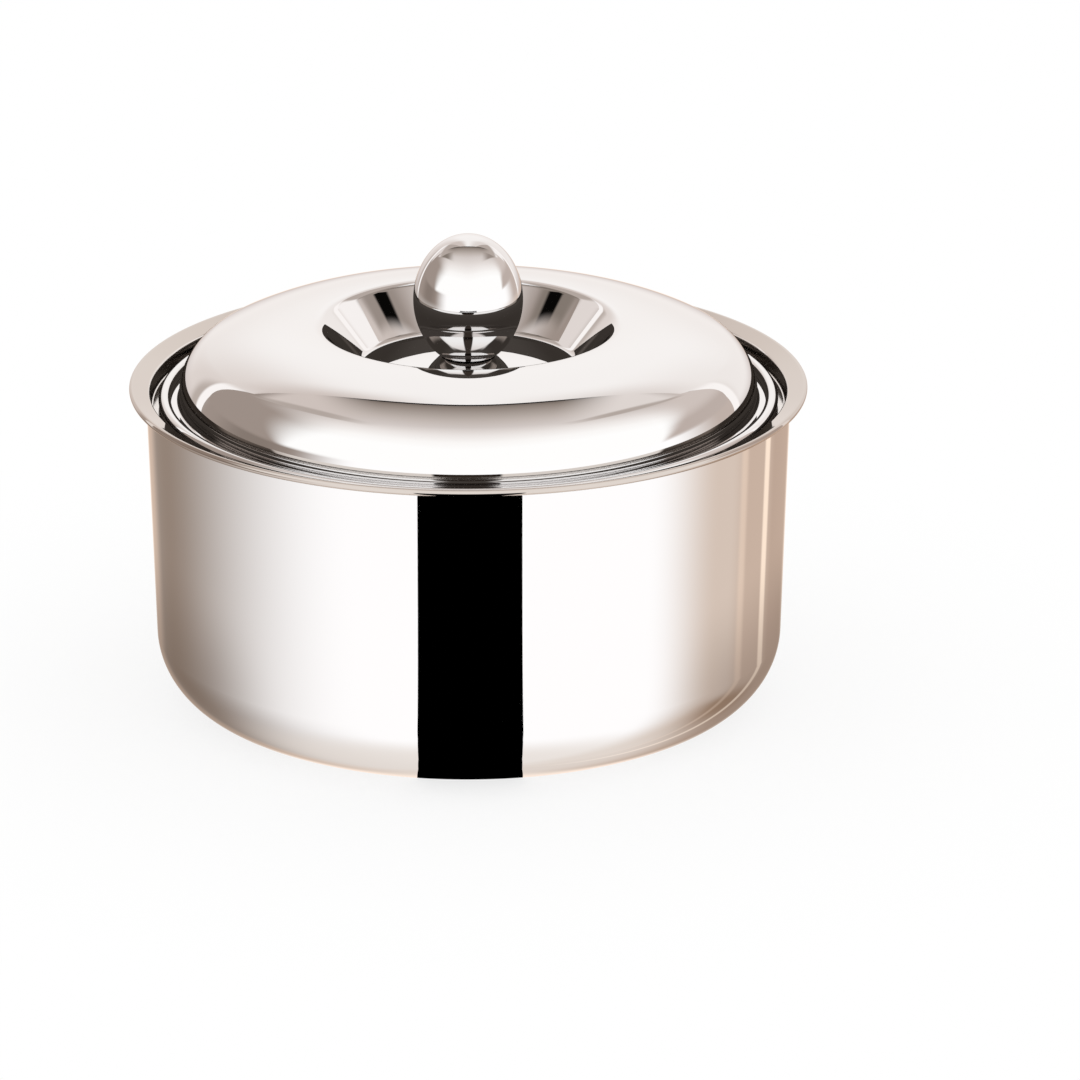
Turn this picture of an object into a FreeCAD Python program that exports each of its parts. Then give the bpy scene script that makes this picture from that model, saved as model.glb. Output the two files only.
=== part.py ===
import FreeCAD, Part
import math
import os
import re

import Sketcher

# Insulated chapati casserole: a double-walled steel pot and a double-walled lift-off lid with a
# recessed centre and an egg-shaped knob.  Millimetres, +Z up along the axis of revolution, origin
# at the middle of the face that the pot stands on.
#
# Each pressed sheet is drawn as a path along the face that is seen, and given its thickness by an
# offset of that path.  The foam fillings are drawn from the same paths, so they follow the sheets.

# Driving dimensions.  Radii are measured from the axis, heights from the standing face, unless a
# comment says otherwise.  Angles are in degrees.
SIZES = {
    # pot, outside
    "rim_radius": 120.0,            # outside of the rolled rim
    "rim_height": 116.5,            # top of the rolled rim
    "rim_bead_radius": 1.15,        # half the thickness of the rolled rim
    "rim_slope": 20.0,              # rise of the flat flange inside the rolled rim
    "rim_hem_length": 1.5,          # length of the hem folded back under the flange
    "flange_width": 7.4,            # from the outside of the rim in to the neck
    "neck_gap": 0.4,                # between the neck and the shell, carried up to the rim's height
    "shell_sheet": 0.6,             # thickness of the outer shell
    "wall_taper": 1.8,              # lean of the wall, narrower towards the base
    "flare_bend_radius": 1.6,       # bend from the wall out to the flange
    "base_corner_radius": 26.0,     # bend from the wall to the base
    "ring_width": 7.3,              # flat ring that the pot stands on
    "recess_depth": 3.0,            # height of the panel inside that ring
    "recess_bend_radius": 0.8,
    "filler_hole_radius": 6.0,      # hole that the foam is poured through, in pot and lid
    # pot, inside
    "bowl_sheet": 0.6,
    "neck_bend_radius": 1.2,        # bend from the flange down to the neck
    "ledge_depth": 7.8,             # from the top of the rim down to the ledge for the lid
    "ledge_width": 9.6,             # from the neck in to the bowl's wall
    "ledge_corner_radius": 1.0,
    "ledge_bend_radius": 1.2,
    "bowl_floor_height": 12.6,
    "bowl_corner_radius": 20.0,
    # lid, heights measured from the face that sits on the ledge
    "seat_gap": 0.3,                # between the ledge and the lid
    "lid_sheet": 0.6,
    "bead_gap": 2.9,                # between the neck and the lid's curled edge
    "bead_radius": 2.2,             # curled edge of the lid
    "groove_width": 2.9,            # between the curled edge and the lid's wall
    "lid_wall_height": 2.86,        # upright part of that wall
    "lid_shoulder_radius": 18.6,
    "lid_crown_height": 29.5,
    "groove_corner_radius": 1.2,
    "funnel_slope": 49.0,           # slope of the wall around the recessed centre
    "funnel_lip_radius": 5.5,
    "funnel_corner_radius": 3.5,
    "funnel_floor_radius": 36.0,    # edge of the domed floor
    "funnel_dome_radius": 156.0,    # curvature of the domed floor
    "funnel_depth": 11.9,           # from the crown down to the top of the domed floor
    "liner_sheet": 0.6,
    "skirt_gap": 1.4,               # between the bowl and the part of the lid that drops into it
    "skirt_bend_radius": 1.0,
    "liner_depth": 5.0,
    "liner_corner_radius": 3.0,
    # knob and its fastening
    "knob_radius": 19.4,
    "knob_half_height": 23.5,       # half the height of the whole egg
    "knob_foot_radius": 9.63,       # where the egg is cut off to stand on the lid
    "knob_sheet": 1.0,
    "insert_height": 12.0,
    "thread_depth": 9.5,
    "screw_radius": 2.5,
    "screw_hole_gap": 0.2,          # around the screw in the sheet and the washers
    "thread_gap": 0.05,
    "screw_tip_gap": 1.0,
    "screw_head_radius": 4.6,
    "screw_head_height": 3.2,
    "socket_flats": 3.0,
    "socket_depth": 1.8,
    "washer_radius": 7.0,
    "washer_thickness": 1.0,
    "spring_washer_radius": 4.4,
    "spring_washer_thickness": 1.3,
    "spring_washer_slit": 0.8,
    "tool_bore_radius": 12.0,       # hole through the lid's foam below the screw
    # base cover and filler plugs
    "cover_lift": 0.5,              # cover above the surface that the pot stands on
    "cover_sheet": 0.6,
    "cover_gap": 0.15,
    "cover_bend_radius": 1.0,
    "plug_head_radius": 9.0,
    "plug_head_thickness": 1.2,
    "plug_gap": 0.1,
    "plug_barb": 0.6,
    "plug_barb_height": 1.8,
    "plug_pocket_gap": 0.6,
    # left between two sheets that are folded together, and between sheet and foam
    "lap_gap": 0.1,
}

# Points and lengths that follow from the driving dimensions, in words of both lists.
LAYOUT = {
    # rolled rim, flange and neck
    "rim_x": "rim_radius - rim_bead_radius",
    "rim_z": "rim_height - rim_bead_radius",
    "neck_x": "rim_radius - flange_width",
    "neck_bend_x": "neck_x + neck_bend_radius",
    "neck_bend_z": "rim_z + (rim_bead_radius - neck_bend_radius) / cos(rim_slope)"
                   " - tan(rim_slope) * (rim_x - neck_bend_x)",
    # ledge and bowl
    "ledge_z": "rim_height - ledge_depth",
    "bowl_x": "neck_x - ledge_width",
    # outer shell: its flare lies under the flange, inside the rolled rim
    "shell_x": "neck_x + bowl_sheet + neck_gap + shell_sheet",
    "flare_drop": "bowl_sheet + lap_gap + shell_sheet",
    "flare_x": "rim_x + (flare_drop - rim_bead_radius) * sin(rim_slope)",
    "flare_z": "rim_z - (flare_drop - rim_bead_radius) * cos(rim_slope)",
    "wall_line": "shell_x * cos(wall_taper) - rim_height * sin(wall_taper) + flare_bend_radius",
    "flare_line": "flare_z * cos(rim_slope) - flare_x * sin(rim_slope) - flare_bend_radius",
    "flare_bend_x": "(wall_line * cos(rim_slope) + flare_line * sin(wall_taper))"
                    " / cos(wall_taper + rim_slope)",
    "flare_bend_z": "(flare_line * cos(wall_taper) + wall_line * sin(rim_slope))"
                    " / cos(wall_taper + rim_slope)",
    "base_bend_x": "shell_x - rim_height * tan(wall_taper)"
                   " - base_corner_radius * (1 - sin(wall_taper)) / cos(wall_taper)",
    "ring_x": "base_bend_x - ring_width",
    # lid
    "seat_z": "ledge_z + seat_gap",
    "bead_x": "neck_x - bead_gap - bead_radius",
    "lid_wall_x": "bead_x - bead_radius - groove_width",
    "skirt_x": "bowl_x - skirt_gap",
    "crown_z": "seat_z + lid_crown_height",
    "groove_z": "seat_z + liner_sheet + lap_gap + lid_sheet",
    "floor_z": "crown_z - funnel_depth",
    "floor_sine": "funnel_floor_radius / funnel_dome_radius",
    "floor_cosine": "sqrt(1 - floor_sine * floor_sine)",
    "floor_edge_z": "floor_z - funnel_dome_radius * (1 - floor_cosine)",
    "funnel_foot_x": "funnel_floor_radius + funnel_corner_radius * (floor_sine + sin(funnel_slope))",
    "funnel_foot_z": "floor_edge_z + funnel_corner_radius * (floor_cosine - cos(funnel_slope))",
    "lip_drop": "funnel_lip_radius * (1 - cos(funnel_slope))",
    "lip_x": "funnel_foot_x + (crown_z - lip_drop - funnel_foot_z) / tan(funnel_slope)"
             " + funnel_lip_radius * sin(funnel_slope)",
    # crown: one arc from the lip to the shoulder, level at the lip, and one of the shoulder's radius
    "shoulder_z": "groove_z + lid_wall_height",
    "shoulder_run": "lid_wall_x - lid_shoulder_radius - lip_x",
    "shoulder_drop": "crown_z - shoulder_z",
    "crown_radius": "(shoulder_run * shoulder_run + shoulder_drop * shoulder_drop"
                    " - lid_shoulder_radius * lid_shoulder_radius)"
                    " / (2 * (shoulder_drop - lid_shoulder_radius))",
    "shoulder_cosine": "shoulder_run / (crown_radius - lid_shoulder_radius)",
    "shoulder_sine": "sqrt(1 - shoulder_cosine * shoulder_cosine)",
    "bead_z": "seat_z + bead_radius",
    "liner_z": "seat_z - liner_depth",
    # knob and screw
    "knob_foot_share": "knob_foot_radius / knob_radius",
    "knob_rise": "knob_half_height * sqrt(1 - knob_foot_share * knob_foot_share)",
    "knob_z": "floor_z + knob_rise",
    "knob_inner_radius": "knob_radius - knob_sheet",
    "knob_inner_half_height": "knob_half_height - knob_sheet",
    "insert_radius": "knob_inner_radius * sqrt(1 - (knob_rise / knob_inner_half_height)"
                     " * (knob_rise / knob_inner_half_height)) - lap_gap",
    "screw_hole_radius": "screw_radius + screw_hole_gap",
    "hole_edge_z": "floor_z - funnel_dome_radius"
                   " + sqrt(funnel_dome_radius * funnel_dome_radius"
                   " - screw_hole_radius * screw_hole_radius)",
    "dome_under_radius": "funnel_dome_radius - lid_sheet",
    "washer_z": "floor_z - funnel_dome_radius + sqrt(dome_under_radius * dome_under_radius"
                " - washer_radius * washer_radius) - thread_gap - washer_thickness",
    "spring_washer_z": "washer_z - spring_washer_thickness",
    "screw_head_z": "spring_washer_z - screw_head_height",
    "screw_tip_z": "floor_z + thread_depth - screw_tip_gap",
    # foam and base
    "foam_top_z": "ledge_z - bowl_sheet - lap_gap",
    "foam_top_x": "shell_x - (rim_height - foam_top_z) * tan(wall_taper)"
                  " - (shell_sheet + lap_gap) / cos(wall_taper)",
    "cover_radius": "ring_x - cover_gap",
    "cover_top_z": "recess_depth - recess_bend_radius",
    "plug_stem_radius": "filler_hole_radius - plug_gap",
    "plug_pocket_radius": "filler_hole_radius + plug_barb + plug_pocket_gap",
}


def formula(text):
    """Text with each name of a size or a layout value written as a reference to it."""
    def reference(match):
        word = match.group(0)
        if word in SIZES:
            return "Dimensions." + word
        if word in LAYOUT:
            return "Layout." + word
        return word
    return re.sub(r"[a-z][a-z_]*[a-z]", reference, text)


def make_document():
    """The document, with its sheet of sizes and its set of layout values."""
    document = FreeCAD.newDocument("casserole")
    sheet = document.addObject("Spreadsheet::Sheet", "Dimensions")
    for row, (name, value) in enumerate(SIZES.items(), start=1):
        sheet.set("A%d" % row, name)
        sheet.set("B%d" % row, str(value))
        sheet.setAlias("B%d" % row, name)
    document.recompute()
    layout = document.addObject("App::VarSet", "Layout")
    for name, text in LAYOUT.items():
        layout.addProperty("App::PropertyFloat", name, "Layout")
        layout.setExpression(name, formula(text))
    document.recompute()
    return document


doc = make_document()


def value_of(text):
    """The number that a formula has now."""
    return float(doc.getObject("Layout").evalExpression(formula(text)))


# ---------------------------------------------------------------- paths
# A path is a list of joints (x, z, normal, edge).  The normal is a pair of formulas and points from
# the face that is seen into the sheet.  The edge leads to the next joint: None for a straight line,
# or (radius, side) for an arc whose centre lies along the normal (side 1) or against it (side -1).
STRAIGHT = None
UP, DOWN, OUT, IN = ("0", "1"), ("0", "-1"), ("1", "0"), ("-1", "0")


def moved(coordinate, direction, distance):
    if direction == "0":
        return coordinate
    return "%s + (%s) * (%s)" % (coordinate, distance, direction)


def offset(path, distance):
    """The path moved along its normals."""
    result = []
    for x, z, normal, edge in path:
        if edge is not STRAIGHT:
            radius, side = edge
            edge = ("%s - (%d) * (%s)" % (radius, side, distance), side)
        result.append((moved(x, normal[0], distance), moved(z, normal[1], distance), normal, edge))
    return result


def backwards(path):
    """The same path, from its end to its start."""
    edges = [STRAIGHT] + [joint[3] for joint in path[:-1]]
    return [joint[:3] + (edge,) for joint, edge in zip(path, edges)][::-1]


def sheet_outline(path, thickness):
    """Closed outline of a sheet that follows the path."""
    return path + backwards(offset(path, thickness))


def corners(*points):
    """Closed outline of straight lines."""
    return [(x, z, UP, STRAIGHT) for x, z in points]


# ---------------------------------------------------------------- bodies
def new_body(name):
    body = doc.addObject("PartDesign::Body", name)
    body.Label = name
    return body


def origin_plane(body, role):
    return next(item for item in body.Origin.OriginFeatures if item.Role == role)


def new_sketch(body, name, role, height=None):
    """A sketch on one of the body's own planes, lifted by a formula."""
    sketch = body.newObject("Sketcher::SketchObject", name)
    sketch.AttachmentSupport = (origin_plane(body, role), [""])
    sketch.MapMode = "FlatFace"
    if height is not None:
        sketch.setExpression("AttachmentOffset.Base.z", formula(height))
    return sketch


def constrain(sketch, kind, *arguments, text):
    """A dimension of the sketch, bound to a formula."""
    number = sketch.addConstraint(Sketcher.Constraint(kind, *arguments, value_of(text)))
    sketch.setExpression("Constraints[%d]" % number, formula(text))


def arc_between(start, end, normal, radius, side):
    """Arc from start to end, and whether it runs from start to end against the clock."""
    centre = (start[0] + normal[0] * radius * side, start[1] + normal[1] * radius * side)
    angles = [math.atan2(point[1] - centre[1], point[0] - centre[0]) for point in (start, end)]
    turn = (angles[1] - angles[0] + math.pi) % (2 * math.pi) - math.pi
    circle = Part.Circle(FreeCAD.Vector(centre[0], centre[1], 0), FreeCAD.Vector(0, 0, 1), radius)
    if turn > 0:
        return Part.ArcOfCircle(circle, angles[0], angles[0] + turn), True
    return Part.ArcOfCircle(circle, angles[1], angles[1] - turn), False


def draw_outline(sketch, outline):
    """Closed outline with every corner's place and every arc's radius bound to its formula."""
    points = [(value_of(x), value_of(z)) for x, z, normal, edge in outline]
    ends = []
    for number, (x, z, normal, edge) in enumerate(outline):
        start, end = points[number], points[(number + 1) % len(points)]
        if edge is STRAIGHT:
            shape = Part.LineSegment(FreeCAD.Vector(*start, 0), FreeCAD.Vector(*end, 0))
            forwards = True
        else:
            direction = (value_of(normal[0]), value_of(normal[1]))
            shape, forwards = arc_between(start, end, direction, value_of(edge[0]), edge[1])
        sketch.addGeometry(shape, False)
        ends.append((1, 2) if forwards else (2, 1))
    for number, (x, z, normal, edge) in enumerate(outline):
        first = ends[number][0]
        before = number - 1 if number else len(outline) - 1
        sketch.addConstraint(Sketcher.Constraint("Coincident", before, ends[before][1], number, first))
        if x == "0":
            sketch.addConstraint(Sketcher.Constraint("PointOnObject", number, first, -2))
        else:
            constrain(sketch, "DistanceX", -1, 1, number, first, text=x)
        if z == "0":
            sketch.addConstraint(Sketcher.Constraint("PointOnObject", number, first, -1))
        else:
            constrain(sketch, "DistanceY", -1, 1, number, first, text=z)
        if edge is not STRAIGHT:
            constrain(sketch, "Radius", number, text=edge[0])


def revolve(body, outline, name="Turned"):
    """The outline turned about the vertical axis."""
    sketch = new_sketch(body, name + "Outline", "XZ_Plane")
    draw_outline(sketch, outline)
    feature = body.newObject("PartDesign::Revolution", name)
    feature.Profile = sketch
    feature.ReferenceAxis = (sketch, ["V_Axis"])
    feature.Angle = 360
    sketch.Visibility = False
    doc.recompute()
    return feature


def turned_piece(name, outline):
    body = new_body(name)
    revolve(body, outline)
    return body


# ---------------------------------------------------------------- pot
def bowl_path():
    """From the hem under the rim, over the rim and down to the middle of the bowl's floor."""
    under = ("-sin(rim_slope)", "cos(rim_slope)")
    over = ("sin(rim_slope)", "-cos(rim_slope)")
    return [
        ("rim_x + rim_bead_radius * sin(rim_slope) - rim_hem_length * cos(rim_slope)",
         "rim_z - rim_bead_radius * cos(rim_slope) - rim_hem_length * sin(rim_slope)",
         under, STRAIGHT),
        ("rim_x + rim_bead_radius * sin(rim_slope)", "rim_z - rim_bead_radius * cos(rim_slope)",
         under, ("rim_bead_radius", 1)),
        ("rim_radius", "rim_z", IN, ("rim_bead_radius", 1)),
        ("rim_x", "rim_height", DOWN, ("rim_bead_radius", 1)),
        ("rim_x - rim_bead_radius * sin(rim_slope)", "rim_z + rim_bead_radius * cos(rim_slope)",
         over, STRAIGHT),
        ("neck_bend_x - neck_bend_radius * sin(rim_slope)",
         "neck_bend_z + neck_bend_radius * cos(rim_slope)", over, ("neck_bend_radius", 1)),
        ("neck_x", "neck_bend_z", OUT, STRAIGHT),
        ("neck_x", "ledge_z + ledge_corner_radius", OUT, ("ledge_corner_radius", -1)),
        ("neck_x - ledge_corner_radius", "ledge_z", DOWN, STRAIGHT),
        ("bowl_x + ledge_bend_radius", "ledge_z", DOWN, ("ledge_bend_radius", 1)),
        ("bowl_x", "ledge_z - ledge_bend_radius", OUT, STRAIGHT),
        ("bowl_x", "bowl_floor_height + bowl_corner_radius", OUT, ("bowl_corner_radius", -1)),
        ("bowl_x - bowl_corner_radius", "bowl_floor_height", DOWN, STRAIGHT),
        ("0", "bowl_floor_height", DOWN, STRAIGHT),
    ]


def shell_path():
    """From the edge of the flare under the rim, down the wall and in to the filler hole."""
    under = ("-sin(rim_slope)", "cos(rim_slope)")
    wall = ("-cos(wall_taper)", "sin(wall_taper)")
    return [
        ("flare_x", "flare_z", under, STRAIGHT),
        ("flare_bend_x - flare_bend_radius * sin(rim_slope)",
         "flare_bend_z + flare_bend_radius * cos(rim_slope)", under, ("flare_bend_radius", -1)),
        ("flare_bend_x - flare_bend_radius * cos(wall_taper)",
         "flare_bend_z + flare_bend_radius * sin(wall_taper)", wall, STRAIGHT),
        ("base_bend_x + base_corner_radius * cos(wall_taper)",
         "base_corner_radius * (1 - sin(wall_taper))", wall, ("base_corner_radius", 1)),
        ("base_bend_x", "0", UP, STRAIGHT),
        ("ring_x + recess_bend_radius", "0", UP, ("recess_bend_radius", 1)),
        ("ring_x", "recess_bend_radius", OUT, STRAIGHT),
        ("ring_x", "recess_depth - recess_bend_radius", OUT, ("recess_bend_radius", -1)),
        ("ring_x - recess_bend_radius", "recess_depth", UP, STRAIGHT),
        ("filler_hole_radius", "recess_depth", UP, STRAIGHT),
    ]


def make_body_insulation():
    """Foam between the two walls, hollow where the filler plug reaches in."""
    bowl_side = offset(bowl_path()[9:], "bowl_sheet + lap_gap")
    shell_side = backwards(offset(shell_path()[3:], "shell_sheet + lap_gap"))
    panel_top = "recess_depth + shell_sheet + lap_gap"
    pocket_top = panel_top + " + plug_barb_height + plug_pocket_gap"
    pocket = corners(("0", pocket_top), ("plug_pocket_radius", pocket_top),
                     ("plug_pocket_radius", panel_top))
    top = corners(("foam_top_x", "foam_top_z"))
    return turned_piece("body_insulation", bowl_side + pocket + shell_side[1:] + top)


def make_base_cover():
    """Shallow dish pressed into the recess of the base, over the filler plug."""
    path = [
        ("0", "cover_lift", UP, STRAIGHT),
        ("cover_radius - cover_bend_radius", "cover_lift", UP, ("cover_bend_radius", 1)),
        ("cover_radius", "cover_lift + cover_bend_radius", IN, STRAIGHT),
        ("cover_radius", "cover_top_z", IN, STRAIGHT),
    ]
    return turned_piece("base_cover", sheet_outline(path, "cover_sheet"))


def make_plug(name, panel, sheet):
    """Push-in plug with its head under the panel and a barb above it."""
    barb = "%s + %s + lap_gap" % (panel, sheet)
    outline = corners(
        ("0", panel + " - plug_head_thickness"),
        ("plug_head_radius", panel + " - plug_head_thickness"),
        ("plug_head_radius", panel),
        ("plug_stem_radius", panel),
        ("plug_stem_radius", barb),
        ("filler_hole_radius + plug_barb", barb + " + plug_gap"),
        ("plug_stem_radius - plug_barb", barb + " + plug_barb_height"),
        ("0", barb + " + plug_barb_height"))
    return turned_piece(name, outline)


# ---------------------------------------------------------------- lid
def lid_path():
    """From the knob's screw hole up the funnel, over the crown and out to the curled edge."""
    hole_sine = "screw_hole_radius / funnel_dome_radius"
    hole_cosine = "(hole_edge_z - floor_z + funnel_dome_radius) / funnel_dome_radius"
    slope = ("sin(funnel_slope)", "-cos(funnel_slope)")
    return [
        ("screw_hole_radius", "hole_edge_z",
         ("-(%s)" % hole_sine, "-(%s)" % hole_cosine), ("funnel_dome_radius", 1)),
        ("funnel_floor_radius", "floor_edge_z",
         ("-floor_sine", "-floor_cosine"), ("funnel_corner_radius", -1)),
        ("funnel_foot_x", "funnel_foot_z", slope, STRAIGHT),
        ("lip_x - funnel_lip_radius * sin(funnel_slope)", "crown_z - lip_drop",
         slope, ("funnel_lip_radius", 1)),
        ("lip_x", "crown_z", DOWN, ("crown_radius", 1)),
        ("lip_x + crown_radius * shoulder_cosine",
         "crown_z - crown_radius * (1 - shoulder_sine)",
         ("-shoulder_cosine", "-shoulder_sine"), ("lid_shoulder_radius", 1)),
        ("lid_wall_x", "shoulder_z", IN, STRAIGHT),
        ("lid_wall_x", "groove_z + groove_corner_radius", IN, ("groove_corner_radius", -1)),
        ("lid_wall_x + groove_corner_radius", "groove_z", DOWN, STRAIGHT),
        ("bead_x", "groove_z", DOWN, STRAIGHT),
    ]


def liner_path():
    """From the curl that holds the lid's edge, under the seat and in to the filler hole."""
    return [
        ("bead_x - bead_radius", "groove_z + lap_gap", OUT, STRAIGHT),
        ("bead_x - bead_radius", "bead_z", OUT, ("bead_radius", 1)),
        ("bead_x", "bead_z + bead_radius", DOWN, ("bead_radius", 1)),
        ("bead_x + bead_radius", "bead_z", IN, ("bead_radius", 1)),
        ("bead_x", "seat_z", UP, STRAIGHT),
        ("skirt_x + skirt_bend_radius", "seat_z", UP, ("skirt_bend_radius", -1)),
        ("skirt_x", "seat_z - skirt_bend_radius", IN, STRAIGHT),
        ("skirt_x", "liner_z + liner_corner_radius", IN, ("liner_corner_radius", 1)),
        ("skirt_x - liner_corner_radius", "liner_z", UP, STRAIGHT),
        ("filler_hole_radius", "liner_z", UP, STRAIGHT),
    ]


def make_lid_insulation():
    """Foam inside the lid, with a bore below the knob's screw."""
    lid_side = offset(lid_path()[1:8], "lid_sheet + lap_gap")
    liner_side = offset(liner_path()[6:9], "liner_sheet + lap_gap")
    dome_top = ("floor_z - funnel_dome_radius + sqrt((dome_under_radius - lap_gap)"
                " * (dome_under_radius - lap_gap) - tool_bore_radius * tool_bore_radius)")
    bore_sine = "tool_bore_radius / (dome_under_radius - lap_gap)"
    bore_cosine = "sqrt(1 - (%s) * (%s))" % (bore_sine, bore_sine)
    dome_start = [("tool_bore_radius", dome_top, ("-(%s)" % bore_sine, "-(%s)" % bore_cosine),
                   ("dome_under_radius - lap_gap", 1))]
    bore_foot = corners(("tool_bore_radius", "liner_z + liner_sheet + lap_gap"))
    lid_side[-1] = lid_side[-1][:3] + (STRAIGHT,)
    return turned_piece("lid_insulation", dome_start + lid_side + liner_side + bore_foot)


# ---------------------------------------------------------------- knob
def add_ellipsoid(body, kind, name, half_height, radius):
    """Egg shape, cut off where the knob stands on the lid."""
    egg = body.newObject(kind, name)
    egg.setExpression("Radius1", formula(half_height))
    egg.setExpression("Radius2", formula(radius))
    egg.setExpression("Radius3", formula(radius))
    egg.Angle2 = 90
    egg.setExpression("AttachmentOffset.Base.z", formula("knob_z"))
    egg.AttachmentSupport = (origin_plane(body, "XY_Plane"), [""])
    egg.MapMode = "FlatFace"
    egg.setExpression("Angle1", "-asin(%s / %s)" % (formula("knob_rise"), formula(half_height)))
    doc.recompute()
    return egg


def make_knob():
    """Hollow egg, open at its foot."""
    body = new_body("knob")
    add_ellipsoid(body, "PartDesign::AdditiveEllipsoid", "Egg", "knob_half_height", "knob_radius")
    add_ellipsoid(body, "PartDesign::SubtractiveEllipsoid", "Hollow",
                  "knob_inner_half_height", "knob_inner_radius")
    return body


def ring_piece(name, inner, outer, bottom, thickness):
    top = "%s + %s" % (bottom, thickness)
    return turned_piece(name, corners((inner, bottom), (outer, bottom), (outer, top), (inner, top)))


def make_insert():
    """Threaded boss welded into the foot of the knob."""
    bore = "screw_radius + thread_gap"
    outline = corners(
        (bore, "floor_z"), ("insert_radius", "floor_z"),
        ("insert_radius", "floor_z + insert_height"), ("0", "floor_z + insert_height"),
        ("0", "floor_z + thread_depth"), (bore, "floor_z + thread_depth"))
    return turned_piece("knob_insert", outline)


def make_screw():
    """Screw from below, with a hexagon socket in its head."""
    outline = corners(
        ("0", "screw_head_z"), ("screw_head_radius", "screw_head_z"),
        ("screw_head_radius", "spring_washer_z"), ("screw_radius", "spring_washer_z"),
        ("screw_radius", "screw_tip_z"), ("0", "screw_tip_z"))
    body = turned_piece("knob_screw", outline)
    sketch = new_sketch(body, "SocketOutline", "XY_Plane", "screw_head_z")
    reach = value_of("socket_flats") / math.sqrt(3)
    tips = [FreeCAD.Vector(reach * math.cos(math.radians(60 * i)),
                           reach * math.sin(math.radians(60 * i)), 0) for i in range(6)]
    for number in range(6):
        sketch.addGeometry(Part.LineSegment(tips[number], tips[(number + 1) % 6]), False)
    circle = sketch.addGeometry(Part.Circle(FreeCAD.Vector(0, 0, 0), FreeCAD.Vector(0, 0, 1), reach),
                                True)
    sketch.addConstraint(Sketcher.Constraint("Coincident", circle, 3, -1, 1))
    for number in range(6):
        after = (number + 1) % 6
        sketch.addConstraint(Sketcher.Constraint("Coincident", number, 2, after, 1))
        sketch.addConstraint(Sketcher.Constraint("PointOnObject", number, 1, circle))
        if number:
            sketch.addConstraint(Sketcher.Constraint("Equal", 0, number))
    sketch.addConstraint(Sketcher.Constraint("PointOnObject", 0, 1, -1))
    constrain(sketch, "Radius", circle, text="socket_flats / sqrt(3)")
    socket = body.newObject("PartDesign::Pocket", "Socket")
    socket.Profile = sketch
    socket.Reversed = True
    socket.setExpression("Length", formula("socket_depth"))
    return body


def make_spring_washer():
    """Split ring under the screw's head."""
    body = ring_piece("knob_spring_washer", "screw_hole_radius", "spring_washer_radius",
                      "spring_washer_z", "spring_washer_thickness")
    sketch = new_sketch(body, "SlitOutline", "XY_Plane", "spring_washer_z")
    inside, outside = "screw_hole_radius / 2", "spring_washer_radius + spring_washer_slit"
    half = "spring_washer_slit / 2"
    places = [(inside, "-"), (outside, "-"), (outside, ""), (inside, "")]
    points = [FreeCAD.Vector(value_of(x), value_of(sign + half), 0) for x, sign in places]
    for number in range(4):
        sketch.addGeometry(Part.LineSegment(points[number], points[(number + 1) % 4]), False)
    for number, kind in enumerate(("Horizontal", "Vertical", "Horizontal", "Vertical")):
        sketch.addConstraint(Sketcher.Constraint("Coincident", number, 2, (number + 1) % 4, 1))
        sketch.addConstraint(Sketcher.Constraint(kind, number))
    constrain(sketch, "DistanceX", -1, 1, 0, 1, text=inside)
    constrain(sketch, "DistanceX", -1, 1, 0, 2, text=outside)
    constrain(sketch, "DistanceY", 0, 1, -1, 1, text=half)
    constrain(sketch, "DistanceY", -1, 1, 2, 1, text=half)
    slit = body.newObject("PartDesign::Pocket", "Slit")
    slit.Profile = sketch
    slit.Reversed = True
    slit.setExpression("Length", formula("spring_washer_thickness"))
    return body


# ---------------------------------------------------------------- build
def make_pieces():
    return [
        turned_piece("outer_shell", sheet_outline(shell_path(), "shell_sheet")),
        turned_piece("inner_bowl", sheet_outline(bowl_path(), "bowl_sheet")),
        make_body_insulation(),
        make_base_cover(),
        make_plug("base_filler_plug", "recess_depth", "shell_sheet"),
        turned_piece("lid_shell", sheet_outline(lid_path(), "lid_sheet")),
        turned_piece("lid_liner", sheet_outline(liner_path(), "liner_sheet")),
        make_lid_insulation(),
        make_plug("lid_filler_plug", "liner_z", "liner_sheet"),
        make_knob(),
        make_insert(),
        make_screw(),
        ring_piece("knob_washer", "screw_hole_radius", "washer_radius", "washer_z",
                   "washer_thickness"),
        make_spring_washer(),
    ]


def check(pieces):
    """Stop if a feature failed or a piece is not one valid solid."""
    for item in doc.Objects:
        if "Invalid" in item.State or "Error" in item.State:
            raise RuntimeError("%s failed: %s" % (item.Label, item.State))
    for piece in pieces:
        shape = piece.Shape
        if shape.isNull() or not shape.isValid() or len(shape.Solids) != 1:
            raise RuntimeError("%s has no valid solid" % piece.Label)


made = make_pieces()
doc.recompute()
check(made)
os.makedirs("parts", exist_ok=True)
for made_piece in made:
    made_piece.Shape.exportStep("parts/%s.step" % made_piece.Label)
    box = made_piece.Shape.BoundBox
    print("%-20s volume %10.1f  z %7.2f to %7.2f  radius %6.2f"
          % (made_piece.Label, made_piece.Shape.Volume, box.ZMin, box.ZMax, box.XMax))
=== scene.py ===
import math

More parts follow.
